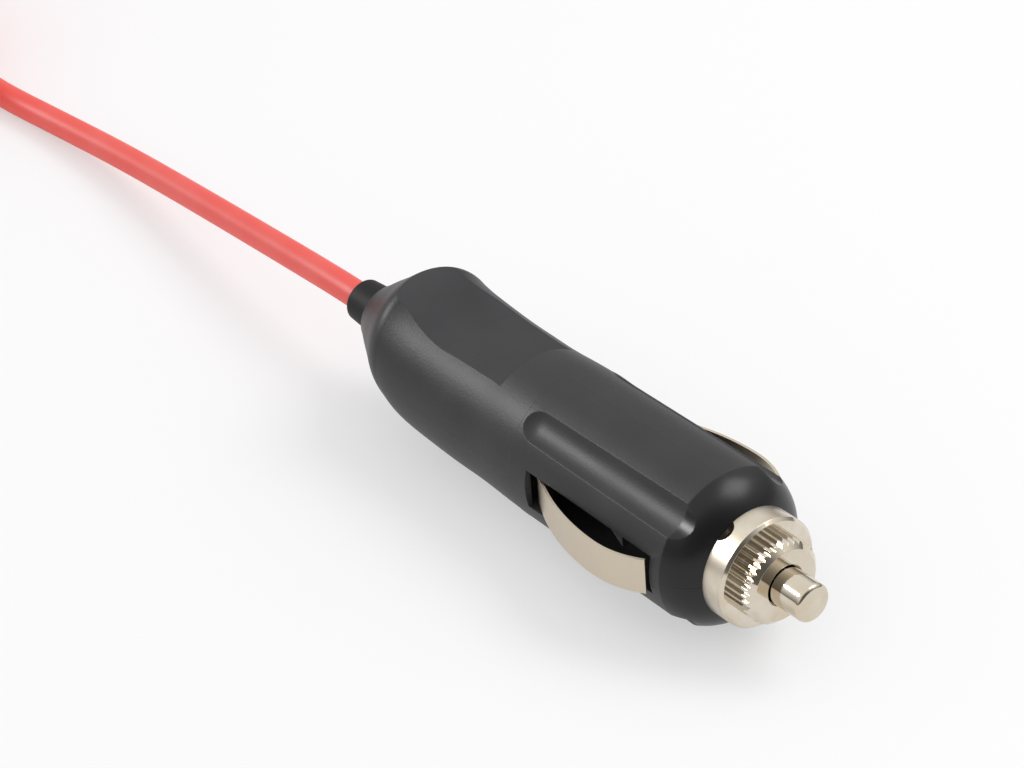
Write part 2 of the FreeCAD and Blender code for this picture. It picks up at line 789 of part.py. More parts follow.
def make_leaf(label, side):
    """A side contact: a strip bowed in two arcs that meet level at its crest, with a tab turned inward."""
    body = make_body(label)
    thick = dim("leaf_thick")
    crest = dim("leaf_peak_height")
    rear_run = leaf_peak_x - leaf_rear_x
    rear_fall = crest - dim("leaf_rear_height") - thick
    front_run = leaf_front_x - leaf_peak_x
    front_fall = crest - dim("leaf_front_height")
    rear_round = (rear_run * rear_run + rear_fall * rear_fall) / (rear_fall * 2)
    front_round = (front_run * front_run + front_fall * front_fall) / (front_fall * 2)
    front_share = 1 - thick / front_round
    inner_front_x = leaf_peak_x + front_run * front_share
    inner_front_y = crest - front_round + (front_round - front_fall) * front_share
    tab_end = dim("leaf_rear_height") - dim("leaf_tab")
    corner_y = dim("leaf_rear_height") + thick
    drop = Size.of(side)
    corners = [
        (leaf_tab_x, tab_end),
        (leaf_rear_x, tab_end),
        (leaf_rear_x, dim("leaf_rear_height")),
        (leaf_peak_x, crest - thick),
        (inner_front_x, inner_front_y),
        (leaf_front_x, dim("leaf_front_height")),
        (leaf_peak_x, crest),
        (leaf_rear_x, corner_y),
        (leaf_tab_x, corner_y - thick / 2),
    ]
    left_turning = side > 0
    arcs = {
        2: (rear_round, not left_turning),
        3: (front_round - thick, not left_turning),
        5: (front_round, left_turning),
        6: (rear_round, left_turning),
    }
    sketch = new_sketch(body, label + "_strip", "XY_Plane")
    draw_outline(sketch, [(x, y * drop) for x, y in corners], arcs)
    pad(body, sketch, label + "_pad", dim("leaf_width"), both_ways=True)
    lift(body, z=axis_z)
    return body


make_leaf("side_contact_left", -1)
make_leaf("side_contact_right", 1)

# Strap that joins both side contacts behind the terminal
strap = make_body("ground_strap")
sketch = new_sketch(strap, "ground_strap_outline", "XY_Plane")
span = dim("strap_half_span")
leg = span - dim("strap_width")
draw_outline(sketch, [
    (strap_front_x, -span), (strap_end_x, -span), (strap_end_x, span), (strap_front_x, span),
    (strap_front_x, leg), (strap_back_x, leg), (strap_back_x, -leg), (strap_front_x, -leg),
])
pad(strap, sketch, "ground_strap_plate", dim("strap_thick"), reverse=True)
lift(strap, z=axis_z)

# Collar that takes the pull of the cord
turned_piece("strain_relief", [
    (relief_flange_front_x, dim("cord_radius")),
    (relief_flange_front_x, dim("relief_flange_radius")),
    (relief_flange_back_x, dim("relief_flange_radius")),
    (relief_flange_back_x, dim("relief_radius")),
    (shell_end_x, dim("relief_radius")),
    (relief_end_x + dim("relief_round"), dim("relief_tip_radius")),
    (relief_end_x, dim("relief_tip_radius") - dim("relief_round")),
    (relief_end_x, dim("cord_radius")),
], z=axis_z + dim("relief_rise"))

# Socket at the far end, drawn about its own axis
socket_z = dim("socket_radius")
housing_bore = dim("sleeve_bore") + dim("sleeve_wall") + slack
turned_piece("socket_housing", [
    (socket_mouth_x, housing_bore),
    (socket_mouth_x, dim("socket_radius")),
    (socket_rear_x - dim("socket_cone"), dim("socket_radius")),
    (socket_rear_x, dim("socket_neck_radius")),
    (socket_rear_x, dim("relief_radius") + slack),
    (socket_wall_x, dim("relief_radius") + slack),
    (socket_wall_x, dim("socket_neck_radius") - dim("socket_rear_wall") / 2),
    (socket_rear_x - dim("socket_cone"), dim("socket_cavity_radius")),
    (rim_back_x, dim("socket_cavity_radius")),
    (rim_back_x, housing_bore),
], y=socket_y, z=socket_z)
sleeve_outer = dim("sleeve_bore") + dim("sleeve_wall")
cup_radius = dim("sleeve_bore") - dim("sleeve_step")
stud_face_x = stud_seat_x - dim("stud_head_thick")
step_x = stud_face_x - dim("sleeve_wall")
turned_piece("socket_sleeve", [
    (socket_mouth_x, dim("sleeve_bore")),
    (socket_mouth_x - dim("sleeve_wall"), dim("sleeve_bore")),
    (socket_mouth_x - dim("sleeve_wall"), sleeve_outer + dim("sleeve_flange")),
    (socket_mouth_x, sleeve_outer + dim("sleeve_flange")),
    (socket_mouth_x, sleeve_outer),
    (step_x + dim("sleeve_wall"), sleeve_outer),
    (step_x + dim("sleeve_wall"), cup_radius + dim("sleeve_wall")),
    (rim_back_x, cup_radius + dim("sleeve_wall")),
    (rim_back_x, cup_radius - dim("sleeve_rim")),
    (rim_front_x, cup_radius - dim("sleeve_rim")),
    (rim_front_x, cup_radius),
    (step_x, cup_radius),
    (step_x, dim("sleeve_bore")),
], y=socket_y, z=socket_z)
stud_hole = dim("stud_shank_radius") + dim("thread_clearance")
turned_piece("socket_insulator", [
    (rim_front_x, stud_hole),
    (rim_front_x, cup_radius - slack),
    (stud_seat_x, cup_radius - slack),
    (stud_seat_x, stud_hole),
], y=socket_y, z=socket_z)
turned_piece("socket_tag", [
    (rim_front_x, stud_hole),
    (rim_front_x, dim("washer_radius")),
    (washer_back_x, dim("washer_radius")),
    (washer_back_x, stud_hole),
], y=socket_y, z=socket_z)
turned_piece("socket_stud", [
    (stud_face_x, 0),
    (stud_face_x, dim("stud_head_radius") - dim("stud_head_thick") / 2),
    (stud_seat_x - dim("stud_head_thick") / 2, dim("stud_head_radius")),
    (stud_seat_x, dim("stud_head_radius")),
    (stud_seat_x, dim("stud_shank_radius")),
    (washer_back_x, dim("stud_shank_radius")),
    (washer_back_x, dim("stud_rivet_radius")),
    (rivet_x, dim("stud_rivet_radius")),
    (rivet_x, 0),
], y=socket_y, z=socket_z)
turned_piece("socket_grommet", [
    (grommet_front_x, dim("cord_radius")),
    (grommet_front_x, dim("relief_flange_radius")),
    (socket_wall_x, dim("relief_flange_radius")),
    (socket_wall_x, dim("relief_radius")),
    (socket_rear_x, dim("relief_radius")),
    (grommet_end_x - dim("relief_round"), dim("relief_tip_radius")),
    (grommet_end_x, dim("relief_tip_radius") - dim("relief_round")),
    (grommet_end_x, dim("cord_radius")),
], y=socket_y, z=socket_z)

# Hank: the folded turns of the cord as one block, lifted by the tie that runs under it
hank = make_body("cord_hank")
near_x = hank_near_x - hank_outer
far_x = near_x - dim("hank_straight")
middle_y = -dim("hank_side")
inner = dim("hank_fold") - dim("cord_radius")
sketch = new_sketch(hank, "cord_hank_outline", "XY_Plane", dim("tie_thick"))


def draw_slot(target, reach):
    """Draws a long hole or bar with round ends about the hank's middle line."""
    near_circle = Part.Circle(Vector(near_x.value, middle_y.value, 0), Vector(0, 0, 1), reach.value)
    far_circle = Part.Circle(Vector(far_x.value, middle_y.value, 0), Vector(0, 0, 1), reach.value)
    quarter = math.pi / 2
    near = target.addGeometry(Part.ArcOfCircle(near_circle, -quarter, quarter), False)
    far = target.addGeometry(Part.ArcOfCircle(far_circle, quarter, 3 * quarter), False)
    top_near = Vector(near_x.value, middle_y.value + reach.value, 0)
    top_far = Vector(far_x.value, middle_y.value + reach.value, 0)
    low_near = Vector(near_x.value, middle_y.value - reach.value, 0)
    low_far = Vector(far_x.value, middle_y.value - reach.value, 0)
    top = target.addGeometry(Part.LineSegment(top_near, top_far), False)
    low = target.addGeometry(Part.LineSegment(low_far, low_near), False)
    for first, second in (((near, 2), (top, 1)), ((top, 2), (far, 1)), ((far, 2), (low, 1)), ((low, 2), (near, 1))):
        target.addConstraint(Sketcher.Constraint("Tangent", first[0], first[1], second[0], second[1]))
    for arc, x in ((near, near_x), (far, far_x)):
        pin_down(target, "DistanceX", arc, 3, x)
    pin_down(target, "DistanceY", near, 3, middle_y)
    target.addConstraint(Sketcher.Constraint("Horizontal", near, 3, far, 3))
    held = target.addConstraint(Sketcher.Constraint("Radius", near, reach.value))
    target.setExpression("Constraints[%d]" % held, reach.text)


draw_slot(sketch, hank_outer)
draw_slot(sketch, inner)
pad(hank, sketch, "cord_hank_block", hank_height)

# Tie round the hank's middle
tie = make_body("cord_tie")
tie_x = (near_x + far_x) / 2
sketch = new_sketch(tie, "cord_tie_outline", "YZ_Plane", tie_x)
thick = dim("tie_thick")
inner_left = middle_y - hank_outer
inner_right = middle_y + hank_outer
inner_top = thick + hank_height
turn_in = dim("tie_round")
left, right, top = inner_left - thick, inner_right + thick, inner_top + thick
draw_outline(sketch, [
    (left + turn_in, 0), (right - turn_in, 0), (right, turn_in), (right, top - turn_in),
    (right - turn_in, top), (left + turn_in, top), (left, top - turn_in), (left, turn_in),
], {1: (turn_in, True), 3: (turn_in, True), 5: (turn_in, True), 7: (turn_in, True)})
draw_outline(sketch, [
    (inner_left, thick), (inner_right, thick), (inner_right, inner_top), (inner_left, inner_top),
])
pad(tie, sketch, "cord_tie_band", dim("tie_width"), both_ways=True)


# Round tubes along a route: straight runs joined by tangent arcs
def round_tube(label, points, radius):
    """A tube along a route, kept as a plain shape because no sketch lies along a route in space.

    Args:
        label: the piece's name.
        points: corners of the route.
        radius: radius of the tube.

    Returns:
        The piece, and the length of its centre line.
    """
    points = [Vector(*[Size.of(c).value for c in p]) for p in points]
    edges = []
    radii = []
    last = points[0]
    for k in range(1, len(points) - 1):
        before = points[k] - points[k - 1]
        after = points[k + 1] - points[k]
        turn_angle = before.getAngle(after)
        reach = 0.45 * min(before.Length, after.Length)
        way_in = Vector(before).normalize()
        way_out = Vector(after).normalize()
        start = points[k] - way_in * reach
        end = points[k] + way_out * reach
        bend = reach / math.tan(turn_angle / 2)
        bisector = (way_out - way_in).normalize()
        centre = points[k] + bisector * (bend / math.cos(turn_angle / 2))
        middle = centre - bisector * bend
        edges.append(Part.LineSegment(last, start).toShape())
        edges.append(Part.Arc(start, middle, end).toShape())
        radii.append(bend)
        last = end
    edges.append(Part.LineSegment(last, points[-1]).toShape())
    wire = Part.Wire(edges)
    start_way = (points[1] - points[0]).normalize()
    circle = Part.Wire([Part.Circle(points[0], start_way, radius.value).toShape()])
    shape = wire.makePipeShell([circle], True, False)
    if shape.Volume < 0:
        shape.reverse()
    piece = doc.addObject("Part::Feature", label)
    piece.Label = label
    piece.Shape = shape
    want = math.pi * radius.value ** 2 * wire.Length
    print("%s: length %.1f, radii %s, volume share %.4f"
          % (label, wire.Length, ["%.1f" % r for r in radii], shape.Volume / want))
    if abs(shape.Volume / want - 1) > 0.01:
        raise RuntimeError(label + " is not a plain tube")
    return piece, wire.Length


cord_z = axis_z + dim("relief_rise")
floor_z = dim("cord_radius")
first_layer_z = dim("tie_thick") + dim("cord_radius")
top_layer_z = dim("tie_thick") + hank_height - dim("cord_radius")
first_row_y = middle_y + hank_outer - dim("cord_radius")
top_row_y = middle_y + dim("hank_fold")
drop_run = (relief_end_x - hank_near_x) / 4.8
exit_x = relief_end_x - dim("relief_reach") / 2
cord_y = drop_run / 20
sink = cord_z - floor_z
cord_run, run_length = round_tube("cord_run", [
    (cord_start_x, 0, cord_z),
    (exit_x, 0, cord_z),
    (exit_x - drop_run, cord_y * 1.3, cord_z - sink * 0.28),
    (exit_x - drop_run * 2, cord_y * 3.2, cord_z - sink * 0.6),
    (exit_x - drop_run * 3, cord_y * 4.0, cord_z - sink * 0.86),
    (exit_x - drop_run * 4.15, cord_y * 3.3, floor_z),
    (near_x + hank_outer * 0.66, first_row_y - dim("cord_radius") * 0.6, first_layer_z - dim("tie_thick") / 4),
    (near_x - hank_outer * 0.3, first_row_y, first_layer_z),
], dim("cord_radius"))
tail_run = (hank_far_x - grommet_front_x + hank_outer) / 2.3
cord_tail, tail_length = round_tube("cord_tail", [
    (grommet_front_x + tail_run * 2.95, top_row_y, top_layer_z),
    (grommet_front_x + tail_run * 2, top_row_y - dim("cord_radius") / 8, top_layer_z),
    (grommet_front_x + tail_run, socket_y, socket_z + dim("cord_radius") / 12),
    (grommet_front_x, socket_y, socket_z),
], dim("cord_radius"))

# Cores of the cord inside the plug and inside the socket
tag_z = axis_z + dim("tag_height")
spread = dim("core_spread")
side_y = dim("core_side")
boss_run = dim("screw_radius") * 2
end_run = dim("core_end_run")
round_tube("wire_positive", [
    (tag_end_x, 0, tag_z),
    (tag_end_x - end_run, 0, tag_z),
    (screw_x + boss_run, side_y, tag_z),
    (screw_x - boss_run, side_y, cord_z),
    (cord_start_x + end_run, spread, cord_z),
    (cord_start_x, spread, cord_z),
], dim("core_radius"))
round_tube("wire_negative", [
    (strap_end_x, -side_y, axis_z - dim("strap_thick") / 2),
    (screw_x + boss_run, -side_y, axis_z),
    (screw_x - boss_run, -side_y, axis_z + dim("relief_rise") / 2),
    (cord_start_x + end_run, -spread, cord_z),
    (cord_start_x, -spread, cord_z),
], dim("core_radius"))
tag_row = (dim("stud_rivet_radius") + dim("washer_radius")) / 2
rim_row = cup_radius - dim("sleeve_rim") / 2
round_tube("socket_wire_positive", [
    (washer_back_x, socket_y + tag_row, socket_z),
    (washer_back_x + end_run, socket_y + tag_row, socket_z),
    (grommet_front_x - end_run, socket_y + spread, socket_z),
    (grommet_front_x, socket_y + spread, socket_z),
], dim("core_radius"))
round_tube("socket_wire_negative", [
    (rim_back_x, socket_y - rim_row, socket_z),
    (rim_back_x + end_run, socket_y - rim_row, socket_z),
    (grommet_front_x - end_run, socket_y - spread, socket_z),
    (grommet_front_x, socket_y - spread, socket_z),
], dim("core_radius"))

# Coil spring behind the fuse: open coils between two flat ground ends
pitch = (sheet.get("spring_length") - 2 * sheet.get("spring_wire_radius")) / sheet.get("spring_turns")
helix = Part.makeHelix(pitch, pitch * sheet.get("spring_turns"), sheet.get("spring_radius"))
start = Vector(sheet.get("spring_radius"), 0, 0)
section = Part.Wire([Part.Circle(start, Vector(0, 1, 0), sheet.get("spring_wire_radius")).toShape()])
coil = Part.Wire(helix).makePipeShell([section], True, True)
spring = doc.addObject("Part::Feature", "contact_spring")
spring.Label = "contact_spring"
spring.Shape = coil
spring.Placement = FreeCAD.Placement(
    Vector((spring_front_x - dim("spring_wire_radius")).value, 0, axis_z.value),
    FreeCAD.Rotation(Vector(0, 0, 1), Vector(-1, 0, 0)))

doc.recompute()

# Lengths and checks before writing
loops_outer = 2 * (hank_outer - dim("cord_radius")).value * math.pi + 2 * dim("hank_straight").value
loops_inner = 2 * dim("hank_fold").value * math.pi + 2 * dim("hank_straight").value
print("cord length about %.0f" % (run_length + tail_length + 3 * loops_outer + 4 * loops_inner))
for item in doc.Objects:
    if "Invalid" in item.State or "Error" in item.State:
        raise RuntimeError("%s failed: %s" % (item.Name, item.State))
pieces = [o for o in doc.Objects if o.TypeId in ("PartDesign::Body", "Part::Feature")]
os.makedirs("parts", exist_ok=True)
for piece in pieces:
    shape = piece.Shape
    if shape.isNull() or not shape.isValid() or len(shape.Solids) != 1:
        raise RuntimeError("%s has no single valid solid" % piece.Label)
    box = shape.BoundBox
    print("%-22s x %8.2f %8.2f  y %7.2f %7.2f  z %6.2f %6.2f  volume %9.1f"
          % (piece.Label, box.XMin, box.XMax, box.YMin, box.YMax, box.ZMin, box.ZMax, shape.Volume))
    shape.exportStep("parts/%s.step" % piece.Label)
print("pieces:", len(pieces))
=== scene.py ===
"""Scene of a vehicle accessory extension lead: fused plug, red cord, tied hank and in-line socket.

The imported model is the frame. This script dresses its pieces, draws the cord as one smooth line and
sets the floor, the light and the camera. All lengths are in metres in the model's own frame, with the
plug along X.
"""

from __future__ import annotations

import json
import logging
import math
from dataclasses import dataclass, field
from enum import Enum
from typing import Any

import bpy
import numpy as np
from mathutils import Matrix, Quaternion, Vector

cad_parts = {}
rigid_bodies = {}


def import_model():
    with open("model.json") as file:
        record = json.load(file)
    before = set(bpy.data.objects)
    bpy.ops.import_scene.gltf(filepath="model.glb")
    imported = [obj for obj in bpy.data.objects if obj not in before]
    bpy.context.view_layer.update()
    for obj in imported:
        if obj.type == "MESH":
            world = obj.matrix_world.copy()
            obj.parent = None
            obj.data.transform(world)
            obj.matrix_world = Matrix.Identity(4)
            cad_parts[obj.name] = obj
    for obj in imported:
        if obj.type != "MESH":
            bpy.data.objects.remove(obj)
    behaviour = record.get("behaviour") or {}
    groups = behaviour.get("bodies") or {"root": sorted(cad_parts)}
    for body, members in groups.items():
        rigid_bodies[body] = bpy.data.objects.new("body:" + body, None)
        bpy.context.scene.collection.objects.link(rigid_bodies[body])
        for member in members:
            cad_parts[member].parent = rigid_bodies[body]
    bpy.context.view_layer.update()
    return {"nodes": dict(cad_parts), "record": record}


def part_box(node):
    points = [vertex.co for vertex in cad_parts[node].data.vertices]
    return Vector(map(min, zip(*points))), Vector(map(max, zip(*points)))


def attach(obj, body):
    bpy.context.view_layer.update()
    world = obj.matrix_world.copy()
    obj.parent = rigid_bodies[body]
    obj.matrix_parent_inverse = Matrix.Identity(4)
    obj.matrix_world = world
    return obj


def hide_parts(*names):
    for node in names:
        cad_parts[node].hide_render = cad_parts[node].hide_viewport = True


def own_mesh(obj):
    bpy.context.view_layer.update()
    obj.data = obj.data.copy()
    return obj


LOG = logging.getLogger("lead")
MM = 0.001
LEAD_BODY = "lead"
FULL_TURN = 2.0 * math.pi
# A half turn of the hank follows four corners of an octagon: the step between them, and half of it.
TURN_CORNERS, CORNER_STEP_DEGREES = 4, 45.0
HALF_STEP = math.pi / 8.0
# Where a colour mix takes its two colours and gives its result.
MIX_FIRST, MIX_SECOND, MIX_RESULT = 6, 7, 2


class Coat(str, Enum):
    """The finishes of the lead, each named as its field in the box of finishes."""

    SHELL = "shell"
    NICKEL = "nickel"
    SATIN = "satin"
    STRIP = "strip"
    ZINC = "zinc"
    BRASS = "brass"
    GLASS = "glass"
    SHEATH = "sheath"
    RELIEF = "relief"
    CORE_RED = "core_red"
    CORE_BLACK = "core_black"
    BOARD = "board"
    STRAP = "strap"


SLOT_COAT = {
    "shell_plastic": Coat.SHELL,
    "nickel_plate": Coat.NICKEL,
    "nickel_strip": Coat.STRIP,
    "zinc_steel": Coat.ZINC,
    "terminal_brass": Coat.BRASS,
    "fuse_glass": Coat.GLASS,
    "cord_jacket": Coat.SHEATH,
    "relief_rubber": Coat.RELIEF,
    "core_red": Coat.CORE_RED,
    "core_black": Coat.CORE_BLACK,
    "insulator_board": Coat.BOARD,
    "tie_strap": Coat.STRAP,
}
NODE_COAT = {"front_ring": Coat.SATIN}


def linear(hex_colour: str) -> tuple[float, float, float, float]:
    """Turns an sRGB hex colour into linear light.

    Args:
        hex_colour: six hex digits with a leading hash.

    Returns:
        Red, green, blue and an alpha of one.
    """
    parts = np.array([int(hex_colour[k : k + 2], 16) for k in (1, 3, 5)]) / 255.0
    low = parts / 12.92
    high = ((parts + 0.055) / 1.055) ** 2.4
    red, green, blue = np.where(parts <= 0.04045, low, high)
    return float(red), float(green), float(blue), 1.0


def add(
    tree: bpy.types.NodeTree, kind: str, inputs: dict[Any, Any] | None = None, **settings: Any
) -> bpy.types.Node:
    """Adds a node with its settings and links.

    Args:
        tree: the node tree to add to.
        kind: the node's type name.
        inputs: socket name or number to a value, or to an output socket to link from.
        settings: the node's own properties.

    Returns:
        The new node.
    """
    node = tree.nodes.new(kind)
    for key, value in settings.items():
        setattr(node, key, value)
    for key, value in (inputs or {}).items():
        if isinstance(value, bpy.types.NodeSocket):
            tree.links.new(value, node.inputs[key])
        else:
            node.inputs[key].default_value = value
    return node


def object_place(tree: bpy.types.NodeTree) -> bpy.types.NodeSocket:
    """The place on the surface in the model's own frame, in metres."""
    return add(tree, "ShaderNodeTexCoord").outputs["Object"]


def noise(
    tree: bpy.types.NodeTree, place: bpy.types.NodeSocket, size_mm: float, detail: float
) -> bpy.types.NodeSocket:
    """Adds cloudy noise with features of a real size.

    Args:
        tree: the node tree to add to.
        place: where on the surface, in metres.
        size_mm: the size of a feature.
        detail: how many finer layers it has.

    Returns:
        The noise, about one half on average.
    """
    scale = 1.0 / (size_mm * MM)
    node = add(tree, "ShaderNodeTexNoise", {"Vector": place, "Scale": scale, "Detail": detail})
    return node.outputs["Fac"]


def stretch(
    tree: bpy.types.NodeTree, place: bpy.types.NodeSocket, scale: tuple[float, float, float]
) -> bpy.types.NodeSocket:
    """Scales a place along each axis, which draws a pattern out into lines where the scale is small."""
    return add(tree, "ShaderNodeMapping", {"Vector": place, "Scale": scale}).outputs["Vector"]


def maths(tree: bpy.types.NodeTree, operation: str, *terms: Any) -> bpy.types.NodeSocket:
    """Adds one sum over numbers or sockets and gives its result."""
    return add(tree, "ShaderNodeMath", dict(enumerate(terms)), operation=operation).outputs[0]


def remap(
    tree: bpy.types.NodeTree,
    value: bpy.types.NodeSocket,
    to: tuple[Any, Any],
    source: tuple[float, float] = (0.0, 1.0),
    curve: str = "LINEAR",
) -> bpy.types.NodeSocket:
    """Carries a value from one range to another and holds it there.

    Args:
        tree: the node tree to add to.
        value: what is carried over.
        to: the ends of the new range, as numbers or sockets.
        source: the ends of the old range.
        curve: how it goes from one end to the other.

    Returns:
        The value in the new range.
    """
    ends = {"From Min": source[0], "From Max": source[1], "To Min": to[0], "To Max": to[1]}
    node = add(tree, "ShaderNodeMapRange", {"Value": value, **ends}, interpolation_type=curve)
    return node.outputs["Result"]


def ramp(
    tree: bpy.types.NodeTree,
    value: bpy.types.NodeSocket,
    first: tuple[float, str],
    last: tuple[float, str],
) -> bpy.types.NodeSocket:
    """Adds a ramp between two colours over a value.

    Args:
        tree: the node tree to add to.
        value: what drives the ramp.
        first: the place from 0 to 1 where the first colour ends, and its hex colour.
        last: the place where the last colour starts, and its hex colour.

    Returns:
        The colour.
    """
    node = add(tree, "ShaderNodeValToRGB", {"Fac": value})
    for element, (place, colour) in zip(node.color_ramp.elements, (first, last)):
        element.position = place
        element.color = linear(colour)
    return node.outputs["Color"]


def soft_edge(tree: bpy.types.NodeTree, radius_mm: float, samples: int = 6) -> bpy.types.NodeSocket:
    """A surface direction that makes sharp edges look rounded by this radius."""
    return add(tree, "ShaderNodeBevel", {"Radius": radius_mm * MM}, samples=samples).outputs["Normal"]


@dataclass(frozen=True)
class Finish:
    """What every finish has: a name, a colour, how rough it is and how strongly it mirrors."""

    name: str
    colour: str
    roughness: float
    gleam: float = 0.5

    def start(self) -> tuple[bpy.types.Material, bpy.types.NodeTree, bpy.types.Node]:
        """Makes a material with one plain shader.

        Returns:
            The material, its tree and the shader.
        """
        material = bpy.data.materials.new(self.name)
        material.use_nodes = True
        tree = material.node_tree
        shader = tree.nodes["Principled BSDF"]
        shader.inputs["Base Color"].default_value = linear(self.colour)
        shader.inputs["Roughness"].default_value = self.roughness
        shader.inputs["Specular IOR Level"].default_value = self.gleam
        return material, tree, shader

    def raise_surface(
        self,
        tree: bpy.types.NodeTree,
        shader: bpy.types.Node,
        height: bpy.types.NodeSocket,
        depth_mm: float,
        **more: bpy.types.NodeSocket,
    ) -> None:
        """Gives the shader a relief.

        Args:
            tree: the material's tree.
            shader: the shader that gets the relief.
            height: how high the surface is, from 0 to 1.
            depth_mm: how high one is.
            more: sockets for the relief's strength or for the direction that it starts from.
        """
        inputs = {"Height": height, "Distance": depth_mm * MM, "Strength": 1.0, **more}
        relief = add(tree, "ShaderNodeBump", inputs)
        tree.links.new(relief.outputs["Normal"], shader.inputs["Normal"])


@dataclass(frozen=True)
class MouldedPlastic(Finish):
    """ABS from a spark-eroded tool: dark, with a fine even grain that breaks up the light's band, and a
    darker nose colour that is painted shade.
    """

    drift_mm: float = 9.0
    worn: str = "#323234"
    gloss_below: float = 0.05
    gloss_above: float = 0.06
    grain_mm: float = 0.28
    grain_depth_mm: float = 0.02
    # painted shade: the nose colour is darker than the barrel's because the shoulder faces the dark front
    # of the room, not because the moulding differs
    nose: str = "#151415"
    nose_roughness: float = 0.3
    nose_mm: float = 27.15
    nose_before_mm: float = 0.1
    nose_after_mm: float = 0.2
    edge_mm: float = 0.18

    def material(self) -> bpy.types.Material:
        """Grain as bump up to a smooth nose, a darker nose colour as painted shade, a slow drift of gloss,
        and edges that look rounded.

        Returns:
            The material.
        """
        material, tree, shader = self.start()
        place = object_place(tree)
        along = add(tree, "ShaderNodeSeparateXYZ", {"Vector": place}).outputs["X"]
        nose = ((self.nose_mm - self.nose_before_mm) * MM, (self.nose_mm + self.nose_after_mm) * MM)
        grained = remap(tree, along, (1.0, 0.0), nose)
        drift = noise(tree, place, self.drift_mm, 2.0)
        tint = ramp(tree, drift, (0.3, self.colour), (0.75, self.worn))
        # past the shoulder's crease the base colour turns to the darker nose colour: painted shade
        colours = {"Factor": grained, MIX_FIRST: linear(self.nose), MIX_SECOND: tint}
        both = add(tree, "ShaderNodeMix", colours, data_type="RGBA")
        tree.links.new(both.outputs[MIX_RESULT], shader.inputs["Base Color"])
        gloss = remap(tree, drift, (self.roughness - self.gloss_below, self.roughness + self.gloss_above))
        dull = remap(tree, grained, (self.nose_roughness, gloss))
        tree.links.new(dull, shader.inputs["Roughness"])
        grain = noise(tree, place, self.grain_mm, 3.0)
        edge = soft_edge(tree, self.edge_mm)
        self.raise_surface(tree, shader, grain, self.grain_depth_mm, Strength=grained, Normal=edge)
        return material


@dataclass(frozen=True)
class PlatedMetal(Finish):
    """Nickel plate over turned brass: bright and warm, with faint tool marks and a slight yellowing."""

    warm: str = "#cdbfa6"
    cloud_mm: float = 3.0
    side_roughness: float = 0.09
    side_to_face: tuple[float, float] = (0.3, 0.8)
    mark_mm: float = 0.25
    mark_depth_mm: float = 0.0012
    mark_stretch: tuple[float, float, float] = (1.0, 0.05, 0.05)
    edge_mm: float = 0.07

    def material(self) -> bpy.types.Material:
        """Turning marks, cloudy warmth, softened edges, and sides that may be duller than the faces.

        Returns:
            The material.
        """
        material, tree, shader = self.start()
        shader.inputs["Metallic"].default_value = 1.0
        place = object_place(tree)
        cloud = noise(tree, place, self.cloud_mm, 3.0)
        tint = ramp(tree, cloud, (0.35, self.colour), (0.8, self.warm))
        tree.links.new(tint, shader.inputs["Base Color"])
        normal = add(tree, "ShaderNodeNewGeometry").outputs["Normal"]
        faced = add(tree, "ShaderNodeSeparateXYZ", {"Vector": normal}).outputs["X"]
        gloss = remap(tree, faced, (self.side_roughness, self.roughness), self.side_to_face)
        tree.links.new(gloss, shader.inputs["Roughness"])
        marks = noise(tree, stretch(tree, place, self.mark_stretch), self.mark_mm, 2.0)
        edge = soft_edge(tree, self.edge_mm)
        self.raise_surface(tree, shader, marks, self.mark_depth_mm, Normal=edge)
        return material


@dataclass(frozen=True)
class RolledStrip(Finish):
    """Metal strip as rolled: satin, with fine lines along its length."""

    line_mm: float = 0.12
    line_depth_mm: float = 0.0015
    line_stretch: tuple[float, float, float] = (0.03, 1.0, 1.0)
    gloss_below: float = 0.08
    gloss_above: float = 0.1

    def material(self) -> bpy.types.Material:
        """Fine lines along X as bump and as gloss.

        Returns:
            The material.
        """
        material, tree, shader = self.start()
        shader.inputs["Metallic"].default_value = 1.0
        lines = noise(tree, stretch(tree, object_place(tree), self.line_stretch), self.line_mm, 2.0)
        gloss = remap(tree, lines, (self.roughness - self.gloss_below, self.roughness + self.gloss_above))
        tree.links.new(gloss, shader.inputs["Roughness"])
        self.raise_surface(tree, shader, lines, self.line_depth_mm)
        return material


@dataclass(frozen=True)
class SoftSheath(Finish):
    """Extruded PVC sheath: soft and faintly waxy, with a cloudy colour and a slightly uneven skin."""

    pale: str = "#ee6056"
    cloud_mm: float = 6.0
    speck_mm: float = 0.6
    speck_depth_mm: float = 0.02

    def material(self) -> bpy.types.Material:
        """Cloudy colour and a slight unevenness of the surface.

        Returns:
            The material.
        """
        material, tree, shader = self.start()
        place = object_place(tree)
        cloud = noise(tree, place, self.cloud_mm, 3.0)
        tint = ramp(tree, cloud, (0.35, self.colour), (0.8, self.pale))
        tree.links.new(tint, shader.inputs["Base Color"])
        speck = noise(tree, place, self.speck_mm, 2.0)
        self.raise_surface(tree, shader, speck, self.speck_depth_mm)
        return material


@dataclass(frozen=True)
class ClearGlass(Finish):
    """Drawn glass tube: clear and smooth."""

    index: float = 1.5

    def material(self) -> bpy.types.Material:
        """Full transmission with the index of plain glass.

        Returns:
            The material.
        """
        material, _, shader = self.start()
        shader.inputs["Transmission Weight"].default_value = 1.0
        shader.inputs["IOR"].default_value = self.index
        return material


@dataclass(frozen=True)
class PressedBoard(Finish):
    """Resin-bound board: brown, with short darker fibres."""

    fibre: str = "#2c1a10"
    fibre_mm: float = 0.5

    def material(self) -> bpy.types.Material:
        """Short fibres as colour.

        Returns:
            The material.
        """
        material, tree, shader = self.start()
        fibres = noise(tree, object_place(tree), self.fibre_mm, 4.0)
        tint = ramp(tree, fibres, (0.4, self.fibre), (0.65, self.colour))
        tree.links.new(tint, shader.inputs["Base Color"])
        return material


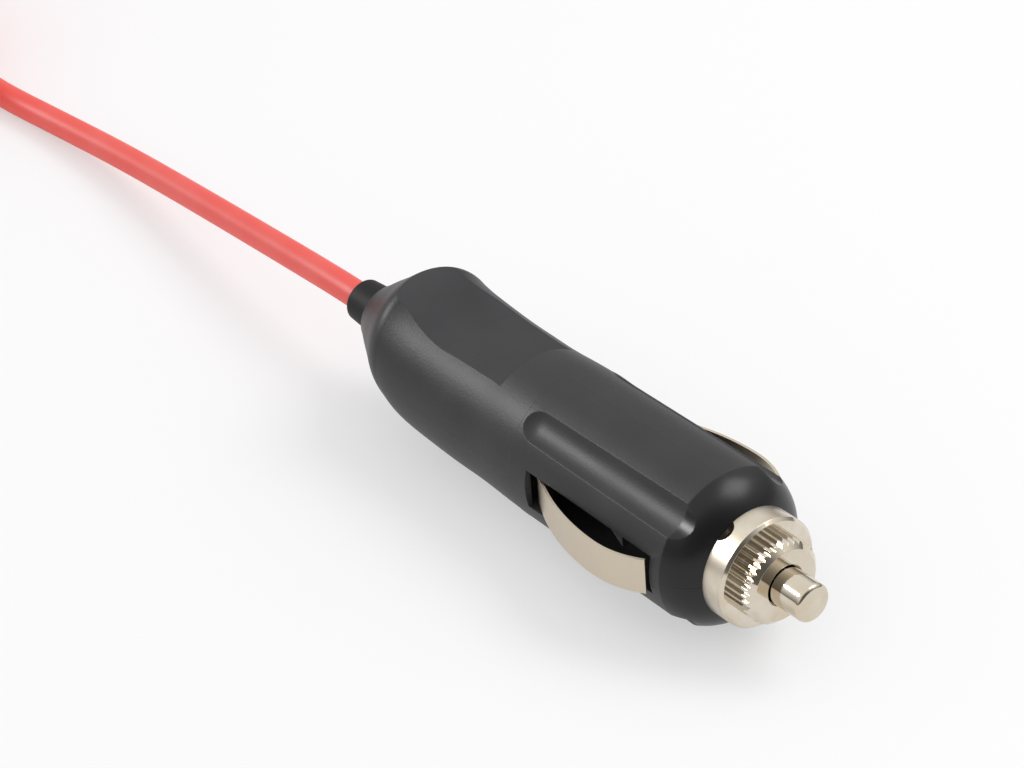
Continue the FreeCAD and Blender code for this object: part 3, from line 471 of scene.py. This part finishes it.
@dataclass(frozen=True)
class WovenStrap(Finish):
    """Woven nylon strap: crossed threads, matt, with a pale sheen at a low angle."""

    # painted shade: the weave's hollows take the darker colour and the threads' tops this lighter one
    light: str = "#2e2e31"
    sheen: float = 0.3
    thread_mm: float = 0.55
    thread_depth_mm: float = 0.09

    def material(self) -> bpy.types.Material:
        """A weave from two crossed sine bands over the strap's own UV, in millimetres along and across;
        the colour darkens in its hollows as painted shade.

        Returns:
            The material.
        """
        material, tree, shader = self.start()
        shader.inputs["Sheen Weight"].default_value = self.sheen
        cloth = add(tree, "ShaderNodeUVMap", uv_map="strap").outputs["UV"]
        parts = add(tree, "ShaderNodeSeparateXYZ", {"Vector": cloth})
        turns = math.pi / self.thread_mm
        waves = [
            maths(tree, "SINE", maths(tree, "MULTIPLY", parts.outputs[axis], turns)) for axis in ("X", "Y")
        ]
        weave = maths(tree, "MULTIPLY", *waves)
        height = remap(tree, weave, (0.0, 1.0), (-1.0, 1.0))
        # darker colour in the weave's hollows and lighter on the threads' tops: painted shade
        tint = ramp(tree, height, (0.2, self.colour), (0.9, self.light))
        tree.links.new(tint, shader.inputs["Base Color"])
        self.raise_surface(tree, shader, height, self.thread_depth_mm)
        return material


@dataclass
class FinishBox:
    """Every finish on the lead, each made into a material once."""

    shell: MouldedPlastic = MouldedPlastic("moulded_charcoal_abs", "#29292b", 0.46, gleam=0.35)
    nickel: PlatedMetal = PlatedMetal("polished_nickel_plate", "#d8cfc0", 0.09)
    satin: PlatedMetal = PlatedMetal("satin_nickel_plate", "#ddd5c8", 0.1, side_roughness=0.32)
    strip: RolledStrip = RolledStrip("nickel_plated_strip", "#cdc1ae", 0.36)
    zinc: RolledStrip = RolledStrip("bright_zinc_steel", "#b9bcc0", 0.3)
    brass: RolledStrip = RolledStrip("stamped_brass", "#c8a55a", 0.32)
    glass: ClearGlass = ClearGlass("drawn_glass", "#f2f6f5", 0.02)
    sheath: SoftSheath = SoftSheath("red_pvc_sheath", "#ee544b", 0.48)
    relief: SoftSheath = SoftSheath("charcoal_soft_pvc", "#171618", 0.55, gleam=0.2, pale="#201f21")
    core_red: SoftSheath = SoftSheath("red_core_insulation", "#b51f1f", 0.42, pale="#c03030")
    core_black: SoftSheath = SoftSheath("black_core_insulation", "#161616", 0.42, pale="#222222")
    board: PressedBoard = PressedBoard("pressed_resin_board", "#5a3a22", 0.6)
    strap: WovenStrap = WovenStrap("woven_nylon_strap", "#141415", 0.8)
    made: dict[Coat, bpy.types.Material] = field(default_factory=dict)

    def get(self, coat: Coat) -> bpy.types.Material:
        """The material of a finish, made at its first use.

        Args:
            coat: which finish.

        Returns:
            The material.
        """
        if coat not in self.made:
            self.made[coat] = getattr(self, coat.value).material()
        return self.made[coat]


def dress(piece: bpy.types.Object, material: bpy.types.Material) -> None:
    """Puts one material on every slot of a piece.

    Args:
        piece: the piece to dress.
        material: what it is made of.
    """
    if not piece.material_slots:
        piece.data.materials.append(material)
    for slot in piece.material_slots:
        slot.material = material


def grid_piece(name: str, points: np.ndarray, closed: bool) -> bpy.types.Object:
    """Makes a smooth tube from a grid of points, whose columns go round it.

    Each face joins a point with its neighbours one row on and one column on. The last column joins the
    first. In a closed tube the last row joins the first too, and otherwise each end has one face.

    Args:
        name: the piece's name.
        points: an array of rows, columns and three coordinates.
        closed: whether the last row joins the first.

    Returns:
        The piece, linked into the scene.
    """
    rows, columns = points.shape[:2]
    index = np.arange(rows * columns).reshape(rows, columns)
    if closed:
        index = np.vstack([index, index[:1]])
    index = np.hstack([index, index[:, :1]])
    sides = [index[:-1, :-1], index[:-1, 1:], index[1:, 1:], index[1:, :-1]]
    faces = np.stack(sides, axis=-1).reshape(-1, 4).tolist()
    if not closed:
        faces.append(index[0, :-1][::-1].tolist())
        faces.append(index[-1, :-1].tolist())
    mesh = bpy.data.meshes.new(name)
    mesh.from_pydata(points.reshape(-1, 3).tolist(), [], faces)
    mesh.polygons.foreach_set("use_smooth", np.ones(len(mesh.polygons), bool))
    mesh.update()
    piece = bpy.data.objects.new(name, mesh)
    bpy.context.scene.collection.objects.link(piece)
    return piece


@dataclass
class CordAndHank:
    """The red cord: out of the plug, down to the floor, wound into a hank and on into the socket."""

    radius: float = 1.85 * MM
    exit_point: tuple[float, float, float] = (-42.0 * MM, 0.0, 10.9 * MM)
    middle_y: float = -6.0 * MM
    near_x: float = -158.1 * MM
    far_x: float = -197.6 * MM
    inner_fold: float = 9.5 * MM
    rows: int = 3
    layers: int = 4
    floor_gap: float = 0.6 * MM
    length: float = 1.97
    far_start: float = 112.5
    near_start: float = -67.5
    round_steps: int = 5
    run_steps: int = 8
    strap_width: float = 9.0 * MM
    strap_thick: float = 0.6 * MM
    strap_corner: float = 2.4 * MM
    strap_square: float = 3.0
    strap_edge: float = 0.35
    strap_steps: tuple[int, int] = (160, 24)

    def lead_out(self) -> np.ndarray:
        """The route's corners from inside the plug to the hank's first run, in metres."""
        corners = [
            (-30.0, 0.0, 10.9),
            (-38.0, 0.0, 10.9),
            (-46.0, 0.0, 10.9),
            (-60.25, 0.84, 9.3),
            (-81.55, 2.55, 6.3),
            (-103.35, 3.75, 3.6),
            (-120.0, 3.4, 2.15),
            (-133.5, 2.1, 1.9),
            (-142.0, 2.15, 2.0),
            (-147.7, 8.3, 2.3),
            (-155.0, 11.35, 2.45),
            (-163.7, 10.9, 2.45),
        ]
        return np.array(corners) * MM

    def tail(self) -> np.ndarray:
        """The route's corners from the hank's top run into the socket, in metres."""
        corners = [
            (-198.0, 11.0, 13.55),
            (-208.0, 9.0, 13.6),
            (-215.0, 1.5, 13.9),
            (-221.5, -0.2, 14.0),
            (-228.85, -0.2, 14.0),
        ]
        return np.array(corners) * MM

    def end_turn(self, centre_x: float, fold: float, height: float, first_degrees: float) -> np.ndarray:
        """Four corners of the octagon round a half turn.

        The smooth line touches the octagon's sides in their middles, which lie on the circle, so the
        corners lie out by one over the cosine of half a step.

        Args:
            centre_x: where the half turn's centre is along X.
            fold: the half turn's radius.
            height: the height of the cord's middle.
            first_degrees: the direction of the first corner, seen from above.

        Returns:
            Four points.
        """
        angles = np.radians(first_degrees + CORNER_STEP_DEGREES * np.arange(TURN_CORNERS))
        reach = fold / math.cos(HALF_STEP)
        x = centre_x + reach * np.cos(angles)
        y = self.middle_y + reach * np.sin(angles)
        return np.column_stack([x, y, np.full(TURN_CORNERS, height)])

    def turns(self) -> np.ndarray:
        """The corners of all turns of the hank, layer on layer.

        The rows go inwards in one layer and outwards in the next. Each turn runs back on the far side,
        round the far end, forward on the near side, where it moves to the next row or layer, and round
        the near end.

        Returns:
            Points of the route.
        """
        inwards = self.inner_fold + 2.0 * self.radius * np.arange(self.rows)[::-1]
        folds = np.concatenate([inwards[:: (-1) ** layer] for layer in range(self.layers)])
        levels = self.floor_gap + self.radius * (1 + 2 * np.arange(self.layers))
        heights = np.repeat(levels, self.rows)
        side = math.tan(HALF_STEP)
        points = []
        for fold, height, after, lifted in zip(folds, heights, folds[1:], heights[1:]):
            points += [
                [(self.far_x + side * fold, self.middle_y + fold, height)],
                self.end_turn(self.far_x, fold, height, self.far_start),
                [(self.far_x + side * fold, self.middle_y - fold, height)],
                [(self.near_x - side * after, self.middle_y - after, lifted)],
                self.end_turn(self.near_x, after, lifted, self.near_start),
                [(self.near_x - side * after, self.middle_y + after, lifted)],
            ]
        return np.vstack(points)

    def draw_cord(self) -> bpy.types.Object:
        """The whole cord as one smooth spline with its route as control points.

        Returns:
            The cord's curve.
        """
        route = np.vstack([self.lead_out(), self.turns(), self.tail()])
        curve = bpy.data.curves.new("red_cord", "CURVE")
        curve.dimensions = "3D"
        curve.bevel_depth = self.radius
        curve.bevel_resolution = self.round_steps
        curve.resolution_u = self.run_steps
        curve.use_fill_caps = True
        spline = curve.splines.new("NURBS")
        spline.points.add(len(route) - 1)
        spline.points.foreach_set("co", np.column_stack([route, np.ones(len(route))]).ravel())
        spline.order_u = 3
        spline.use_endpoint_u = True
        piece = bpy.data.objects.new("red_cord", curve)
        bpy.context.scene.collection.objects.link(piece)
        return piece

    def draw_strap(self) -> bpy.types.Object:
        """The strap round the hank: a thin oval section carried round a rectangle with rounded corners.

        The rectangle is a circle's cosine and sine, made larger and cut off at the straight sides, plus
        the corner's own circle.

        Returns:
            The strap's mesh, with its own UV in millimetres.
        """
        low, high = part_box("cord_tie")
        half = np.array([(high.y - low.y) / 2.0, (high.z - low.z) / 2.0]) - self.strap_thick / 2.0
        centre = np.array([(high.y + low.y) / 2.0, (high.z + low.z) / 2.0])
        around, across = (np.linspace(0.0, FULL_TURN, n, endpoint=False) for n in self.strap_steps)
        circle = np.stack([np.cos(around), np.sin(around)], axis=1)
        straight = np.clip(circle * self.strap_square, -1.0, 1.0) * (half - self.strap_corner)
        line = centre + straight + circle * self.strap_corner
        bulge = np.abs(np.cos(across)) ** self.strap_edge
        flat = np.sign(np.cos(across)) * bulge * self.strap_width / 2.0
        proud = np.sin(across) * self.strap_thick / 2.0
        x = np.broadcast_to((low.x + high.x) / 2.0 + flat, (len(around), len(across)))
        y = line[:, :1] + circle[:, :1] * proud
        z = line[:, 1:] + circle[:, 1:] * proud
        piece = grid_piece("hank_strap", np.stack([x, y, z], axis=-1), closed=True)
        self.lay_cloth(piece.data, line, flat)
        return piece

    def lay_cloth(self, mesh: bpy.types.Mesh, line: np.ndarray, flat: np.ndarray) -> None:
        """Gives the strap's mesh its UV: millimetres along the line and across the strap.

        Args:
            mesh: the strap's mesh.
            line: the points of the line that the strap follows.
            flat: how far across the strap each column is.
        """
        step = np.linalg.norm(np.diff(np.vstack([line, line[:1]]), axis=0), axis=1)
        along = np.concatenate([[0.0], np.cumsum(step)[:-1]]) / MM
        cloth = np.stack(np.broadcast_arrays(along[:, None], (flat / MM)[None, :]), axis=-1).reshape(-1, 2)
        corners = np.empty(len(mesh.loops), np.int32)
        mesh.loops.foreach_get("vertex_index", corners)
        mesh.uv_layers.new(name="strap").data.foreach_set("uv", cloth[corners].ravel())

    def build(self, finishes: FinishBox) -> None:
        """Args:
            finishes: the lead's finishes.
        """
        cord = self.draw_cord()
        dress(cord, finishes.get(Coat.SHEATH))
        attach(cord, LEAD_BODY)
        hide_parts("cord_run", "cord_hank", "cord_tail")
        strap = self.draw_strap()
        dress(strap, finishes.get(Coat.STRAP))
        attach(strap, LEAD_BODY)
        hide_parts("cord_tie")
        LOG.info("cord and hank drawn")


@dataclass
class TipSpring:
    """The coil spring behind the fuse, which shortens as the tip goes in."""

    wire_radius: float = 0.35 * MM
    coil_radius: float = 2.3 * MM
    turns: float = 5.0
    keep: float = 0.6
    run_points: int = 161
    round_points: int = 12

    def build(self, finishes: FinishBox) -> None:
        """Carries a round section along a helix about X, in place of the plain spring.

        Args:
            finishes: the lead's finishes.
        """
        low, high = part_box("contact_spring")
        axis_z = (low.z + high.z) / 2.0
        share = np.linspace(0.0, 1.0, self.run_points)[:, None]
        angle = FULL_TURN * self.turns * share
        ring = np.linspace(0.0, FULL_TURN, self.round_points, endpoint=False)[None, :]
        start, end = high.x - self.wire_radius, low.x + self.wire_radius
        reach = self.coil_radius + self.wire_radius * np.cos(ring)
        x = start + (end - start) * share + self.wire_radius * np.sin(ring)
        y, z = reach * np.sin(angle), axis_z + reach * np.cos(angle)
        spring = grid_piece("coil_spring", np.stack(np.broadcast_arrays(x, y, z), axis=-1), closed=False)
        dress(spring, finishes.get(Coat.ZINC))
        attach(spring, LEAD_BODY)
        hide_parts("contact_spring")
        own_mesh(spring)
        LOG.info("tip spring drawn")


@dataclass(frozen=True)
class Lamp:
    """A square soft lamp aimed at the plug."""

    name: str
    place: tuple[float, float, float]
    size: float
    watts: float
    gloss_only: bool = False
    aim: tuple[float, float, float] = (0.0, 0.0, 0.01)

    def hang(self) -> None:
        """Puts the lamp in its place; one for gloss only gives matt surfaces no light."""
        lamp = bpy.data.lights.new(self.name, "AREA")
        lamp.shape = "SQUARE"
        lamp.size = self.size
        lamp.energy = self.watts
        holder = bpy.data.objects.new(self.name, lamp)
        holder.location = self.place
        holder.rotation_mode = "QUATERNION"
        holder.rotation_quaternion = (Vector(self.aim) - Vector(self.place)).to_track_quat("-Z", "Y")
        holder.visible_diffuse = not self.gloss_only
        bpy.context.scene.collection.objects.link(holder)


@dataclass
class Studio:
    """The pale floor, the soft light and the camera."""

    floor_half: float = 4.0
    floor_glow: float = 0.5
    paper: str = "#f2f2f4"
    paper_roughness: float = 0.9
    fill: float = 0.8
    dark_side: tuple[float, float, float] = (0.94, -0.28, 0.2)
    dark_spread: tuple[float, float] = (0.5, 0.95)
    dark_level: float = 0.12
    horizon_level: float = 0.15
    horizon_top: float = 0.5
    softbox: Lamp = Lamp("right_softbox", (0.35, 0.6, 0.9), 0.6, 5.0)
    reflector: Lamp = Lamp("left_reflector", (-0.63, -0.49, 0.5), 0.25, 5.5, gloss_only=True)
    azimuth: float = 51.7
    elevation: float = 31.4
    roll: float = -4.8
    camera_place: tuple[float, float, float] = (284.95 * MM, -214.03 * MM, 262.39 * MM)
    lens: float = 130.1
    sensor: float = 36.0
    near_clip: float = 0.01

    def lay_floor(self) -> None:
        """A wide plain floor that shows white to the eye and keeps the shadow."""
        corners = np.array([(-1, -1, 0), (1, -1, 0), (1, 1, 0), (-1, 1, 0)], float) * self.floor_half
        mesh = bpy.data.meshes.new("floor")
        mesh.from_pydata(corners.tolist(), [], [(0, 1, 2, 3)])
        floor = bpy.data.objects.new("floor", mesh)
        bpy.context.scene.collection.objects.link(floor)
        sweep = Finish("white_paper_sweep", self.paper, self.paper_roughness, gleam=0.0)
        material, tree, shader = sweep.start()
        glow = add(tree, "ShaderNodeEmission", {"Color": linear("#ffffff"), "Strength": 1.0})
        path = add(tree, "ShaderNodeLightPath").outputs
        mirrored = maths(tree, "MAXIMUM", path["Is Camera Ray"], path["Is Glossy Ray"])
        seen = maths(tree, "MAXIMUM", mirrored, path["Is Transmission Ray"])
        share = maths(tree, "MULTIPLY", seen, self.floor_glow)
        mixed = add(tree, "ShaderNodeMixShader", {0: share, 1: shader.outputs[0], 2: glow.outputs[0]})
        tree.links.new(mixed.outputs[0], tree.nodes["Material Output"].inputs["Surface"])
        dress(floor, material)

    def set_world(self) -> None:
        """A white surround to the eye, a softer one as light, and a dim side in gloss for depth."""
        world = bpy.data.worlds.new("white_studio")
        bpy.context.scene.world = world
        world.use_nodes = True
        tree = world.node_tree
        back = tree.nodes["Background"]
        back.inputs["Color"].default_value = linear("#ffffff")
        path = add(tree, "ShaderNodeLightPath").outputs
        way = add(tree, "ShaderNodeTexCoord").outputs["Generated"]
        facing = {0: way, 1: Vector(self.dark_side).normalized()}
        front = add(tree, "ShaderNodeVectorMath", facing, operation="DOT_PRODUCT").outputs["Value"]
        dim = remap(tree, front, (1.0, self.dark_level), self.dark_spread, "SMOOTHSTEP")
        rise = add(tree, "ShaderNodeSeparateXYZ", {"Vector": way}).outputs["Z"]
        sky = remap(tree, rise, (self.horizon_level, dim), (0.0, self.horizon_top))
        lit = remap(tree, path["Is Glossy Ray"], (self.fill, sky))
        clear = maths(tree, "MAXIMUM", path["Is Camera Ray"], path["Is Transmission Ray"])
        tree.links.new(remap(tree, clear, (lit, 1.0)), back.inputs["Strength"])

    def set_camera(self) -> None:
        """A long lens at the photograph's angle, turned a little about the plug's axis, with no shift."""
        data = bpy.data.cameras.new("camera")
        data.lens = self.lens
        data.sensor_width = self.sensor
        data.clip_start = self.near_clip
        camera = bpy.data.objects.new("camera", data)
        turn, rise = math.radians(self.azimuth), math.radians(self.elevation)
        level = math.cos(rise)
        back = Vector((math.sin(turn) * level, -math.cos(turn) * level, math.sin(rise)))
        camera.location = self.camera_place
        camera.rotation_mode = "QUATERNION"
        tilt = Quaternion((1.0, 0.0, 0.0), math.radians(self.roll))
        camera.rotation_quaternion = tilt @ (-back).to_track_quat("-Z", "Y")
        bpy.context.scene.collection.objects.link(camera)
        bpy.context.scene.camera = camera

    def build(self) -> None:
        """Sets the floor, the surround, the lamps and the camera."""
        bpy.context.scene.view_settings.view_transform = "Standard"
        self.lay_floor()
        self.set_world()
        self.softbox.hang()
        self.reflector.hang()
        self.set_camera()
        LOG.info("studio set")


def dress_nodes(frame: dict[str, Any], finishes: FinishBox) -> None:
    """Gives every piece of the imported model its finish, by its name or else its material slot.

    Args:
        frame: the loaded frame.
        finishes: the lead's finishes.
    """
    for part in frame["record"]["subparts"]:
        name = part["node"]
        coat = NODE_COAT.get(name, SLOT_COAT[part["material_slot"]])
        dress(frame["nodes"][name], finishes.get(coat))
        LOG.info("dressed %s", name)


def main() -> None:
    """Loads the frame, dresses and builds every piece and sets the studio."""
    logging.basicConfig(level=logging.INFO, format="%(name)s: %(message)s")
    for leftover in list(bpy.data.objects):
        bpy.data.objects.remove(leftover)
    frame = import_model()
    finishes = FinishBox()
    dress_nodes(frame, finishes)
    CordAndHank().build(finishes)
    TipSpring().build(finishes)
    Studio().build()
    bpy.context.view_layer.update()


if __name__ == "__main__":
    main()
